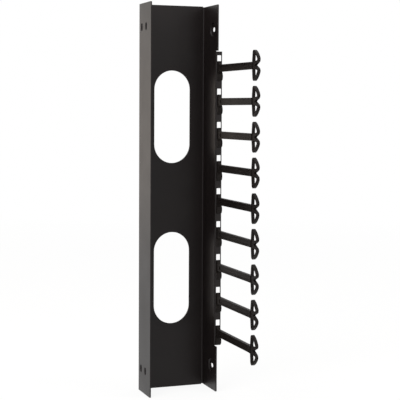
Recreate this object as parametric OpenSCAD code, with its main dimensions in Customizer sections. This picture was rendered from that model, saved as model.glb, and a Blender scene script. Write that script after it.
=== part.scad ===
// Vertical cable manager for server racks. A bent steel channel carries the
// cables, and nine moulded fingers hook into a slotted lip on its right flange.
// The origin is the centre of the channel's back face: +X right, -Y to the
// front, where the channel is open, and +Z up.

/* [Channel] */
// Height of the channel
channel_h = 521; // [500:1:900]
// Width over the two flanges
channel_w = 94.5; // [80:0.5:160]
// Depth of the flanges, from the back face to their front edges
flange_d = 53; // [51:0.5:90]
// Thickness of the steel sheet
sheet_t = 1.5; // [1:0.1:2]
// Inside radius of the two bends at the back
bend_r = 1.8; // [0.5:0.1:4]
// Radius of the flanges' free corners
corner_r = 1.5; // [0.5:0.5:5]
// How far the right flange stops short of the back at each end
right_inset = 1; // [0.2:0.1:5]

/* [Cable pass-throughs] */
// Width of each obround pass-through in the back
pass_w = 50.8; // [20:0.1:70]
// Height of each pass-through, over its round ends
pass_h = 125.5; // [80:0.5:200]
// Distance between the centres of the two pass-throughs
pass_pitch = 220; // [205:0.5:260]

/* [Mounting slots] */
// Width of the upright slots in the left flange
slot_w = 7.4; // [5:0.1:9]
// Length of the upright slots, end to end
slot_l = 10.6; // [9.5:0.1:16]
// Distance from the channel's end to the upright slots' centres
slot_end = 31.4; // [20:0.1:40]
// Depth of the rear line of upright slots, from the back face
rear_slot_d = 13.4; // [11:0.1:18]
// Distance between the rear and the front line of upright slots
slot_row_pitch = 18.8; // [12:0.1:22]
// Length of the level slot in each dimple of the right flange
level_slot_l = 10; // [7:0.1:12]
// Width of the level slots
level_slot_w = 6; // [4:0.1:6.5]
// Distance from the channel's end to the level slots' centres
level_slot_end = 33.2; // [25:0.1:40]
// Depth of the level slots' centres, from the back face
level_slot_d = 34.2; // [28:0.1:40]
// Diameter of the dimple round each level slot
dimple_dia = 20; // [17:0.1:22]
// How far each dimple stands out of the flange
dimple_h = 1.4; // [0.5:0.1:2]

/* [Finger lip] */
// Depth of the lip's front face, from the back face
lip_d = 46.5; // [40:0.5:50]
// How far the lip stands out beyond the right flange
lip_reach = 7.5; // [7.2:0.1:12]
// Inside radius of the lip's bend
lip_bend_r = 0.7; // [0.3:0.1:0.8]
// Lip left above the top window's centre and below the bottom one's
lip_margin = 19.8; // [18:0.1:21]
// Relief cut at each end of the lip
relief_w = 0.8; // [0.4:0.1:2]
// Width of the windows that the fingers hook into
window_w = 5.9; // [5:0.1:6]
// Height of the windows
window_h = 29.6; // [28:0.1:34]
// Distance from the flange's outer face to the windows' centre line
window_x = 3.7; // [3.6:0.05:4.1]
// Corner radius of the windows
window_r = 0.8; // [0.2:0.1:2]

/* [Fingers] */
// Number of fingers
finger_count = 9; // [2:1:9]
// Distance between fingers, one rack unit
finger_pitch = 44.45; // [42:0.05:46]
// Length of the arm, from the lip to the head
arm_l = 116.5; // [60:0.5:200]
// Height of the arm at its root
arm_h = 9.6; // [8:0.1:12]
// Height of the arm at its head
arm_tip_h = 9; // [7:0.1:11]
// Thickness of the arm
arm_t = 4.4; // [3.6:0.1:5.5]
// Height of the rims along the arm's top and bottom
rim_h = 1.9; // [1:0.1:2.5]
// Depth of the pocket on each side of the arm
pocket_d = 0.9; // [0.3:0.1:1.4]
// Corner radius of the pockets
pocket_r = 1.6; // [0.2:0.1:1.8]
// Radius of the fillets above and below the arm's root
fillet_r = 4; // [1:0.1:4.1]
// Radius of the round collar where the arm meets the head
collar_r = 3; // [2.8:0.1:3.6]

/* [Finger bases] */
// Thickness of the base above the arm
base_t = 2.2; // [1.2:0.1:3]
// Height of the base above the arm's centre line
base_up = 9.6; // [9.2:0.1:10]
// Height of the base below the arm's centre line
base_down = 17; // [15:0.1:17.2]
// Width of the rounded pad under the arm
pad_w = 7.4; // [5:0.1:7.4]
// How far the pad stands out of the lip
pad_t = 3.8; // [3.2:0.1:5]
// Thickness of the pad at its bottom edge
pad_edge_t = 0.8; // [0.4:0.1:2]
// Radius of the pad's bottom corners
pad_corner_r = 1.6; // [0.5:0.1:2.4]
// Distance of the arm's centre line below the window's centre
seat_drop = 2.6; // [1:0.1:3]
// Clearance round the neck in its window and behind the lip
fit_gap = 0.2; // [0.1:0.05:0.3]
// Thickness of the hook behind the lip
hook_t = 2.2; // [1.2:0.1:3]
// How far the hook reaches down behind the lip
hook_drop = 4; // [2:0.1:4.2]
// Lead-in chamfer on the hook's toe
hook_chamfer = 1.2; // [0.4:0.1:2]

/* [Finger heads] */
// Height of the head over its two loops
head_h = 38.4; // [34:0.1:41]
// Depth of the head from its rear edge to its front
head_d = 18.8; // [16:0.1:30]
// Thickness of the head
head_t = 3.6; // [3:0.1:5]
// Width of the band that each loop is made of
band_w = 2.6; // [2:0.1:3.3]
// Outer radius of each loop's tip
tip_r = 3.8; // [3.5:0.1:6]
// How far each loop's rear edge leans to the front up to its tip
tip_lean = 1.4; // [0:0.1:3]
// Outer radius of each loop's front bulge
bulge_r = 3.9; // [3.5:0.1:6]
// Height of the bulge's centre above the arm's centre line
bulge_z = 7.2; // [6:0.1:9]
// Radius of the crowned edge between a loop's bulge and tip
crown_r = 26; // [18:1:60]
// Depth of the notch's bottom between the loops, from the head's rear edge
notch_d = 8.4; // [6:0.1:11]

/* [Hidden] */
$fn = 48;
steel_colour = "#3a3634";
nylon_colour = "#1d1b1c";
arc_steps = 8;
past = 1; // how far a cut runs past the face it opens
flange_x = channel_w / 2;
lip_outer_r = lip_bend_r + sheet_t;
lip_h = (finger_count - 1) * finger_pitch + 2 * lip_margin;
finger_x = flange_x + window_x;
window_foot = seat_drop - window_h / 2; // the window's bottom edge, from the arm's centre line

// ---- points along arcs --------------------------------------------------

function toward(a) = [cos(a), sin(a)];
function angle_of(v) = atan2(v[1], v[0]);
function arc(centre, r, from, to) =
    [for (i = [0:arc_steps]) centre + r * toward(from + (to - from) * i / arc_steps)];

// Centre of a circle of radius big_r that holds two smaller circles against its rim
function holding_centre(a, a_r, b, b_r, big_r) =
    let (span = norm(b - a),
         along = (b - a) / span,
         across = [along[1], -along[0]],
         reach = (pow(big_r - a_r, 2) - pow(big_r - b_r, 2) + span * span) / (2 * span))
    a + reach * along + sqrt(pow(big_r - a_r, 2) - reach * reach) * across;

// ---- flat outlines ------------------------------------------------------

// Rectangle centred on the origin with four round corners
module round_rect(w, h, r) {
    square([w, h - 2 * r], center = true);
    square([w - 2 * r, h], center = true);
    for (sx = [-1, 1], sy = [-1, 1])
        translate([sx * (w / 2 - r), sy * (h / 2 - r)]) circle(r);
}

// Slot with round ends, its length along the first axis
module slot_outline(length, width) {
    square([length - width, width], center = true);
    for (s = [-1, 1]) translate([s * (length - width) / 2, 0]) circle(width / 2);
}

// Rectangle from the back line to the front, with round back corners
module back_rounded(width, depth, r) {
    translate([-width / 2, -depth]) square([width, depth - r]);
    translate([-width / 2 + r, -depth]) square([width - 2 * r, depth]);
    for (s = [-1, 1]) translate([s * (width / 2 - r), -r]) circle(r);
}

// ---- placing flat outlines ----------------------------------------------

// Side view: first axis to the front, second axis up, thickness across X
module side_on(thickness) {
    rotate([90, 0, -90]) linear_extrude(thickness, center = true) children();
}

// Front view: first axis along X, second axis up, from the plane y to the front
module front_on(thickness) {
    rotate([90, 0, 0]) linear_extrude(thickness) children();
}

// ---- channel ------------------------------------------------------------

// Plan of the bent sheet
module channel_plan() {
    difference() {
        back_rounded(channel_w, flange_d, bend_r + sheet_t);
        translate([0, -sheet_t])
            back_rounded(channel_w - 2 * sheet_t, flange_d, bend_r);
    }
}

// Side view of one flange, with its free corners rounded
module flange_outline(h) {
    translate([0, -h / 2]) square([flange_d - corner_r, h]);
    translate([0, -h / 2 + corner_r]) square([flange_d, h - 2 * corner_r]);
    for (s = [-1, 1])
        translate([flange_d - corner_r, s * (h / 2 - corner_r)]) circle(corner_r);
}

// Plan of the lip: the flange's last stretch, the bend and the lip itself
module lip_plan() {
    translate([flange_x - sheet_t, -lip_d]) {
        translate([lip_outer_r, 0]) square([sheet_t + lip_reach - lip_outer_r, sheet_t]);
        translate([0, lip_outer_r]) square([sheet_t, sheet_t]);
        intersection() {
            square(lip_outer_r);
            translate([lip_outer_r, lip_outer_r]) difference() {
                circle(lip_outer_r);
                circle(lip_bend_r);
            }
        }
    }
}

// Places its children, seen side on, through the flange on one side
module through_flange(side, depth, height) {
    translate([side * flange_x, -depth, height]) side_on(4 * sheet_t) children();
}

module left_slots() {
    for (end = [-1, 1], row = [0, 1])
        through_flange(-1, rear_slot_d + row * slot_row_pitch, end * (channel_h / 2 - slot_end))
            rotate(90) slot_outline(slot_l, slot_w);
}

// Round dimple pressed outwards, before its slot is cut
module dimple(inset) {
    rotate([0, 90, 0])
        cylinder(h = dimple_h, r1 = dimple_dia / 2 - inset, r2 = dimple_dia / 2 - dimple_h - inset);
}

module at_level_slots() {
    for (end = [-1, 1])
        translate([flange_x, -level_slot_d, end * (channel_h / 2 - level_slot_end)]) children();
}

module lip_windows() {
    for (i = [1:finger_count])
        translate([finger_x, -lip_d + sheet_t + past, window_z(i)])
            front_on(sheet_t + 2 * past) round_rect(window_w, window_h, window_r);
}

module pass_throughs() {
    for (s = [-1, 1])
        translate([0, past, s * pass_pitch / 2])
            front_on(sheet_t + 2 * past) rotate(90) slot_outline(pass_h, pass_w);
}

// Height of a window's centre; finger 1 is the top one
function window_z(i) = ((finger_count + 1) / 2 - i) * finger_pitch;

module channel() {
    // Wall lost on a 45 degree slope, so that the dimple keeps the sheet's thickness
    slope_loss = sheet_t * (sqrt(2) - 1);
    side_w = sheet_t + bend_r; // width of the right flange with its bend
    color(steel_colour) difference() {
        union() {
            intersection() {
                linear_extrude(channel_h, center = true) channel_plan();
                union() {
                    translate([-side_w / 2, 0, 0])
                        side_on(channel_w - side_w) flange_outline(channel_h);
                    translate([flange_x - side_w / 2, 0, 0]) side_on(side_w) difference() {
                        flange_outline(channel_h - 2 * right_inset);
                        translate([lip_d - lip_outer_r, -lip_h / 2 - relief_w])
                            square([flange_d, lip_h + 2 * relief_w]);
                    }
                }
            }
            linear_extrude(lip_h, center = true) lip_plan();
            at_level_slots() dimple(0);
        }
        at_level_slots() {
            translate([-sheet_t, 0, 0]) dimple(slope_loss);
            side_on(2 * (sheet_t + dimple_h) + past) slot_outline(level_slot_l, level_slot_w);
        }
        left_slots();
        pass_throughs();
        lip_windows();
    }
}

// ---- fingers ------------------------------------------------------------
// A finger is drawn with its arm's centre line at z = 0 and the lip's front
// face at y = 0. In its side view the first axis runs to the front.

tip_c = [tip_lean + tip_r, head_h / 2 - tip_r];
bulge_c = [head_d - bulge_r, bulge_z];
crown_c = holding_centre(tip_c, tip_r, bulge_c, bulge_r, crown_r);
tip_a = angle_of(tip_c - crown_c);
bulge_a = angle_of(bulge_c - crown_c);
rear_foot = [0, arm_tip_h / 2]; // where the loop's rear edge begins
rear_off = rear_foot - tip_c;
rear_a = 360 + angle_of(rear_off) - acos(tip_r / norm(rear_off));

// Outer edge of the upper loop, from the head's rear edge round to the notch
function loop_edge() =
    let (notch = [notch_d, 0],
         off = notch - bulge_c,
         leave_a = angle_of(off) + acos(bulge_r / norm(off)))
    concat([[0, 0], rear_foot],
           arc(tip_c, tip_r, rear_a, tip_a),
           arc(crown_c, crown_r, tip_a, bulge_a),
           arc(bulge_c, bulge_r, bulge_a, leave_a),
           [notch]);

// Opening inside the upper loop, one band width in from its edge
function loop_hole() =
    let (corner_rad = bulge_r - band_w,
         corner_z = arm_tip_h / 2 + corner_rad,
         rear = toward(rear_a),
         corner_u = (rear * rear_foot - bulge_r - rear[1] * corner_z) / rear[0],
         corner_c = [corner_u, corner_z],
         floor_a = angle_of(bulge_c - corner_c) - 90)
    concat(arc(tip_c, tip_r - band_w, rear_a, tip_a),
           arc(crown_c, crown_r - band_w, tip_a, bulge_a),
           arc(bulge_c, corner_rad, bulge_a, floor_a),
           arc(corner_c, corner_rad, floor_a, rear_a - 360));

module head_outline() {
    for (s = [0, 1]) mirror([0, s]) difference() {
        polygon(loop_edge());
        polygon(loop_hole());
    }
}

// Concave fillet between the base's front face and the arm's top
module root_fillet() {
    translate([base_t - past, arm_h / 2 - past]) difference() {
        square(fillet_r + past);
        translate([fillet_r + past, fillet_r + past]) circle(fillet_r);
    }
}

// Side view of the arm, with the plate that carries its root
module arm_side() {
    taper_start = base_t + fillet_r;
    arm_end = arm_l + band_w / 2;
    for (s = [0, 1]) mirror([0, s]) {
        polygon([[0, 0], [arm_end, 0], [arm_end, arm_tip_h / 2],
                 [taper_start, arm_h / 2], [0, arm_h / 2]]);
        root_fillet();
    }
    translate([0, -arm_h]) square([base_t, arm_h + base_up]);
}

// Plan of the arm, with the round collar at its head
module arm_plan() {
    translate([-arm_t / 2, -arm_l]) square([arm_t, arm_l]);
    translate([0, -arm_l]) circle(collar_r);
}

module arm_pocket() {
    start = base_t + fillet_r + collar_r;
    pocket_l = arm_l - start - 2 * collar_r;
    pocket_h = arm_tip_h - 2 * rim_h;
    for (s = [-1, 1])
        translate([s * arm_t / 2, 0, 0]) side_on(2 * pocket_d)
            translate([start + pocket_l / 2, 0]) round_rect(pocket_l, pocket_h, pocket_r);
}

module arm() {
    difference() {
        intersection() {
            side_on(2 * collar_r) arm_side();
            linear_extrude(2 * arm_h + 2 * fillet_r, center = true) arm_plan();
        }
        arm_pocket();
    }
}

// Side view of the pad: a bulge below the arm that thins to its bottom edge
module pad_side() {
    pad_h = base_down - arm_h / 2;
    drop = pad_h / 2;
    rise = pad_t - pad_edge_t;
    bulge = (rise * rise + drop * drop) / (2 * rise);
    intersection() {
        translate([0, -base_down]) square([pad_t, pad_h]);
        translate([pad_t - bulge, drop - base_down]) circle(bulge);
    }
}

module pad() {
    intersection() {
        side_on(pad_w) pad_side();
        translate([0, past, 0])
            front_on(pad_t + 2 * past) round_rect(pad_w, 2 * base_down, pad_corner_r);
    }
}

// Neck through the window, with a hook that reaches down behind the lip
module hook_side() {
    back = -(sheet_t + fit_gap);
    top = base_up - fit_gap;
    toe = window_foot - hook_drop;
    polygon([[0, window_foot], [0, top], [back, top],
             [back - hook_t, top - hook_chamfer],
             [back - hook_t, toe + hook_chamfer],
             [back - hook_t + hook_chamfer, toe],
             [back, toe], [back, window_foot]]);
}

module finger() {
    pad();
    arm();
    translate([0, -arm_l, 0]) side_on(head_t) head_outline();
    side_on(window_w - 2 * fit_gap) hook_side();
}

module finger_at(i) {
    color(nylon_colour)
        translate([finger_x, -lip_d, window_z(i) - seat_drop]) finger();
}

channel();
for (i = [1:finger_count])
    finger_at(i);
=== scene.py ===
import math

import bmesh
import bpy
from mathutils import Matrix, Vector


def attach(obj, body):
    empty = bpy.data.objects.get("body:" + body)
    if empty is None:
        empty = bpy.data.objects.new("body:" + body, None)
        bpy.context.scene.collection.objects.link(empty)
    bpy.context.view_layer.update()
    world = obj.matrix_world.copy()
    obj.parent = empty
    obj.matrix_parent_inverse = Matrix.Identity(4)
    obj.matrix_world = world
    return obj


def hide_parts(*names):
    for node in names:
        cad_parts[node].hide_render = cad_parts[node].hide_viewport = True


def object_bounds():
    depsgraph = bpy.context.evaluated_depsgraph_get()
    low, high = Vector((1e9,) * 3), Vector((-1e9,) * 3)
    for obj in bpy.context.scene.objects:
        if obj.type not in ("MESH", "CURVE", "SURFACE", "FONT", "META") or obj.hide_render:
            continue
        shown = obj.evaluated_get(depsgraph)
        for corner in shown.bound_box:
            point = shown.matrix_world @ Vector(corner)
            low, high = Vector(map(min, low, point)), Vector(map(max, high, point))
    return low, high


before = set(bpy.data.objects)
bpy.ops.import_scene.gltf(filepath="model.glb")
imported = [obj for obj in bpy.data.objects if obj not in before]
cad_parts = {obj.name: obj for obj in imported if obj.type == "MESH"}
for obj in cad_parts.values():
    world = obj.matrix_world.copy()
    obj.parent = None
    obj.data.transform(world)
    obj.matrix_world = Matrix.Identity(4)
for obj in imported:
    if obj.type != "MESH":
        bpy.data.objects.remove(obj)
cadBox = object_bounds()
scene = bpy.context.scene
scene.view_settings.view_transform = "Standard"


# camera: where it stands in metres, how it is turned in degrees, and its framing
camera = {
    "place": (-0.50897, -1.49215, 0.12120),
    "yaw": 20.240,
    "down": 2.975,
    "roll": 0.295,
    "lens": 104.18,
    "shiftY": -0.0777,
}


def makeCamera(c):
    data = bpy.data.cameras.new("viewCamera")
    data.sensor_width = 36
    data.lens = c["lens"]
    data.shift_y = c["shiftY"]
    data.clip_start, data.clip_end = 0.05, 50
    yaw, down, roll = (math.radians(c[k]) for k in ("yaw", "down", "roll"))
    ahead = Vector((math.sin(yaw) * math.cos(down), math.cos(yaw) * math.cos(down), -math.sin(down)))
    right = Vector((math.cos(yaw), -math.sin(yaw), 0))
    up = right.cross(ahead)
    right, up = (math.cos(roll) * right + math.sin(roll) * up,
                 math.cos(roll) * up - math.sin(roll) * right)
    turn = Matrix((right, up, -ahead)).transposed().to_4x4()
    obj = bpy.data.objects.new("viewCamera", data)
    obj.matrix_world = Matrix.Translation(c["place"]) @ turn
    scene.collection.objects.link(obj)
    scene.camera = obj


makeCamera(camera)
print("camera ready")


def toLinear(hexColour):
    out = []
    for i in (1, 3, 5):
        v = int(hexColour[i:i + 2], 16) / 255
        out.append(v / 12.92 if v <= 0.04045 else ((v + 0.055) / 1.055) ** 2.4)
    return (*out, 1)


def addNode(tree, kind, x, y, **settings):
    node = tree.nodes.new(kind)
    node.location = (x, y)
    for name, value in settings.items():
        if name in node.inputs:
            node.inputs[name].default_value = value
        else:
            setattr(node, name, value)
    return node


def newMaterial(name):
    material = bpy.data.materials.new(name)
    material.use_nodes = True
    material.node_tree.nodes.clear()
    return material, material.node_tree, material.node_tree.links


def texturedFinish(name, p):
    material, tree, links = newMaterial(name)
    out = addNode(tree, "ShaderNodeOutputMaterial", 700, 0)
    shader = addNode(tree, "ShaderNodeBsdfPrincipled", 400, 0)
    shader.inputs["Specular IOR Level"].default_value = p["specular"]
    place = addNode(tree, "ShaderNodeTexCoord", -900, 0)
    cloud = addNode(tree, "ShaderNodeTexNoise", -600, 200, Scale=1000 / p["cloudSize"], Detail=3.0)
    tint = addNode(tree, "ShaderNodeMix", 100, 200, data_type="RGBA")
    tint.inputs[6].default_value = toLinear(p["colour"])
    tint.inputs[7].default_value = toLinear(p["paleColour"])
    rough = addNode(tree, "ShaderNodeMapRange", 100, 0)
    rough.inputs["To Min"].default_value = p["roughness"][0]
    rough.inputs["To Max"].default_value = p["roughness"][1]
    grain = addNode(tree, "ShaderNodeTexNoise", -600, -250, Scale=1000 / p["grainSize"], Detail=2.0)
    bump = addNode(tree, "ShaderNodeBump", 100, -250, Strength=0.5, Distance=p["grainDepth"] / 1000)
    links.new(place.outputs["Object"], cloud.inputs["Vector"])
    links.new(place.outputs["Object"], grain.inputs["Vector"])
    links.new(cloud.outputs["Fac"], tint.inputs[0])
    links.new(cloud.outputs["Fac"], rough.inputs["Value"])
    links.new(grain.outputs["Fac"], bump.inputs["Height"])
    links.new(tint.outputs[2], shader.inputs["Base Color"])
    links.new(rough.outputs["Result"], shader.inputs["Roughness"])
    links.new(bump.outputs["Normal"], shader.inputs["Normal"])
    links.new(shader.outputs["BSDF"], out.inputs["Surface"])
    return material


# satin powder coat on sheet steel: fine orange peel and faint clouding, sizes in mm
powderCoat = {
    "colour": "#130f0f",
    "paleColour": "#1a1413",
    "roughness": (0.33, 0.44),
    "specular": 0.23,
    "grainSize": 1.6,
    "grainDepth": 0.02,
    "cloudSize": 45,
}
steelFinish = texturedFinish("satin powder coated steel", powderCoat)

# black moulded nylon: spark-eroded grain and faint flow marks, sizes in mm
nylon = {
    "colour": "#120f0e",
    "paleColour": "#1d1816",
    "roughness": (0.42, 0.56),
    "specular": 0.09,
    "grainSize": 0.6,
    "grainDepth": 0.01,
    "cloudSize": 18,
}
nylonFinish = texturedFinish("black moulded nylon", nylon)
print("finishes ready")


# eased edges: radii in metres, and the angle that counts as an edge
channelEdges = {"radius": 0.00025, "rings": 2, "angle": 40}
fingerEdges = {"radius": 0.0002, "rings": 2, "angle": 28}


def easedCopy(nodeName, pieceName, finish, edges):
    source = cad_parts[nodeName]
    mesh = source.data.copy()
    mesh.name = pieceName
    work = bmesh.new()
    work.from_mesh(mesh)
    bmesh.ops.remove_doubles(work, verts=work.verts[:], dist=1e-6)
    bmesh.ops.dissolve_limit(work, angle_limit=math.radians(0.6), verts=work.verts[:],
                             edges=work.edges[:], delimit={"NORMAL"})
    bmesh.ops.recalc_face_normals(work, faces=work.faces[:])
    for face in work.faces:
        face.smooth = True
    for edge in work.edges:
        edge.smooth = len(edge.link_faces) == 2 and edge.calc_face_angle(0) < math.radians(edges["angle"])
    work.to_mesh(mesh)
    work.free()
    mesh.materials.clear()
    mesh.materials.append(finish)
    piece = bpy.data.objects.new(pieceName, mesh)
    scene.collection.objects.link(piece)
    ease = piece.modifiers.new("easedEdges", "BEVEL")
    ease.width = edges["radius"]
    ease.segments = edges["rings"]
    ease.limit_method = "ANGLE"
    ease.angle_limit = math.radians(edges["angle"])
    ease.harden_normals = True
    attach(piece, "root")
    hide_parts(nodeName)
    return piece


easedCopy("channel", "steelChannel", steelFinish, channelEdges)
print("channel dressed")
fingerNames = sorted(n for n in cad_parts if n.startswith("finger_"))
for name in fingerNames:
    easedCopy(name, "nylon" + name.title().replace("_", ""), nylonFinish, fingerEdges)
print("fingers dressed:", len(fingerNames))


# studio: floor, backdrop and lamps; places and sizes in metres, power in watts
studio = {
    "floorSize": 12,
    "floorColour": "#f4f3f1",
    "floorBright": (0.9, 1.0),  # near the object and far from it
    "floorFade": (0.5, 2.5),
    "fill": 0.55,
    "lamps": [
        ("keyLamp", (-1.6, -1.2, 1.7), (1.4, 1.4), 38, (1, 1, 1)),
        ("rightLamp", (1.6, -1.3, 0.9), (1.2, 1.6), 14, (1, 1, 1)),
        ("topLamp", (0.1, 0.2, 2.0), (1.4, 1.4), 16, (1, 1, 1)),
        ("sideLamp", (-1.5, 2.2, -0.1), (1.6, 1.2), 6, (1.0, 0.76, 0.55)),
    ],
}


def seenDirectly(tree):
    # 1 for rays from the camera, from a glossy surface or through glass
    path = addNode(tree, "ShaderNodeLightPath", -600, -300)
    first = addNode(tree, "ShaderNodeMath", -400, -300, operation="MAXIMUM")
    either = addNode(tree, "ShaderNodeMath", -200, -300, operation="MAXIMUM")
    tree.links.new(path.outputs["Is Camera Ray"], first.inputs[0])
    tree.links.new(path.outputs["Is Glossy Ray"], first.inputs[1])
    tree.links.new(first.outputs[0], either.inputs[0])
    tree.links.new(path.outputs["Is Transmission Ray"], either.inputs[1])
    return either.outputs[0]


def makeFloor(s):
    work = bmesh.new()
    bmesh.ops.create_grid(work, x_segments=1, y_segments=1, size=s["floorSize"] / 2)
    mesh = bpy.data.meshes.new("studioFloor")
    work.to_mesh(mesh)
    work.free()
    floor = bpy.data.objects.new("studioFloor", mesh)
    scene.collection.objects.link(floor)
    floor.location.z = cadBox[0][2]
    # matt white paper, shown bright to the camera
    material, tree, links = newMaterial("matt white paper")
    out = addNode(tree, "ShaderNodeOutputMaterial", 600, 0)
    paper = addNode(tree, "ShaderNodeBsdfDiffuse", 0, 100, Color=toLinear(s["floorColour"]))
    bright = addNode(tree, "ShaderNodeEmission", 0, -100, Color=(1, 1, 1, 1), Strength=1.0)
    place = addNode(tree, "ShaderNodeTexCoord", -600, 0)
    away = addNode(tree, "ShaderNodeVectorMath", -400, 0, operation="LENGTH")
    fade = addNode(tree, "ShaderNodeMapRange", -200, 0)
    fade.inputs["From Min"].default_value, fade.inputs["From Max"].default_value = s["floorFade"]
    fade.inputs["To Min"].default_value, fade.inputs["To Max"].default_value = s["floorBright"]
    part = addNode(tree, "ShaderNodeMath", 100, -300, operation="MULTIPLY")
    links.new(place.outputs["Object"], away.inputs[0])
    links.new(away.outputs["Value"], fade.inputs["Value"])
    links.new(fade.outputs["Result"], part.inputs[1])
    mix = addNode(tree, "ShaderNodeMixShader", 300, 0)
    links.new(seenDirectly(tree), part.inputs[0])
    links.new(part.outputs[0], mix.inputs[0])
    links.new(paper.outputs[0], mix.inputs[1])
    links.new(bright.outputs[0], mix.inputs[2])
    links.new(mix.outputs[0], out.inputs["Surface"])
    mesh.materials.append(material)


def makeLamps(s):
    for name, place, size, power, colour in s["lamps"]:
        data = bpy.data.lights.new(name, "AREA")
        data.shape = "RECTANGLE"
        data.size, data.size_y = size
        data.energy = power
        data.color = colour
        lamp = bpy.data.objects.new(name, data)
        aim = Vector((0, -0.08, 0)) - Vector(place)
        lamp.matrix_world = Matrix.Translation(place) @ aim.to_track_quat("-Z", "Y").to_matrix().to_4x4()
        scene.collection.objects.link(lamp)


def makeWorld(s):
    world = bpy.data.worlds.new("paleRoom")
    world.use_nodes = True
    tree = world.node_tree
    tree.nodes.clear()
    out = addNode(tree, "ShaderNodeOutputWorld", 600, 0)
    white = addNode(tree, "ShaderNodeBackground", 0, -100, Color=(1, 1, 1, 1), Strength=1.0)
    fill = addNode(tree, "ShaderNodeBackground", 0, 100, Color=(1, 1, 1, 1), Strength=s["fill"])
    mix = addNode(tree, "ShaderNodeMixShader", 300, 0)
    links = tree.links
    links.new(seenDirectly(tree), mix.inputs[0])
    links.new(fill.outputs[0], mix.inputs[1])
    links.new(white.outputs[0], mix.inputs[2])
    links.new(mix.outputs[0], out.inputs["Surface"])
    scene.world = world


makeFloor(studio)
makeLamps(studio)
makeWorld(studio)
print("studio ready")
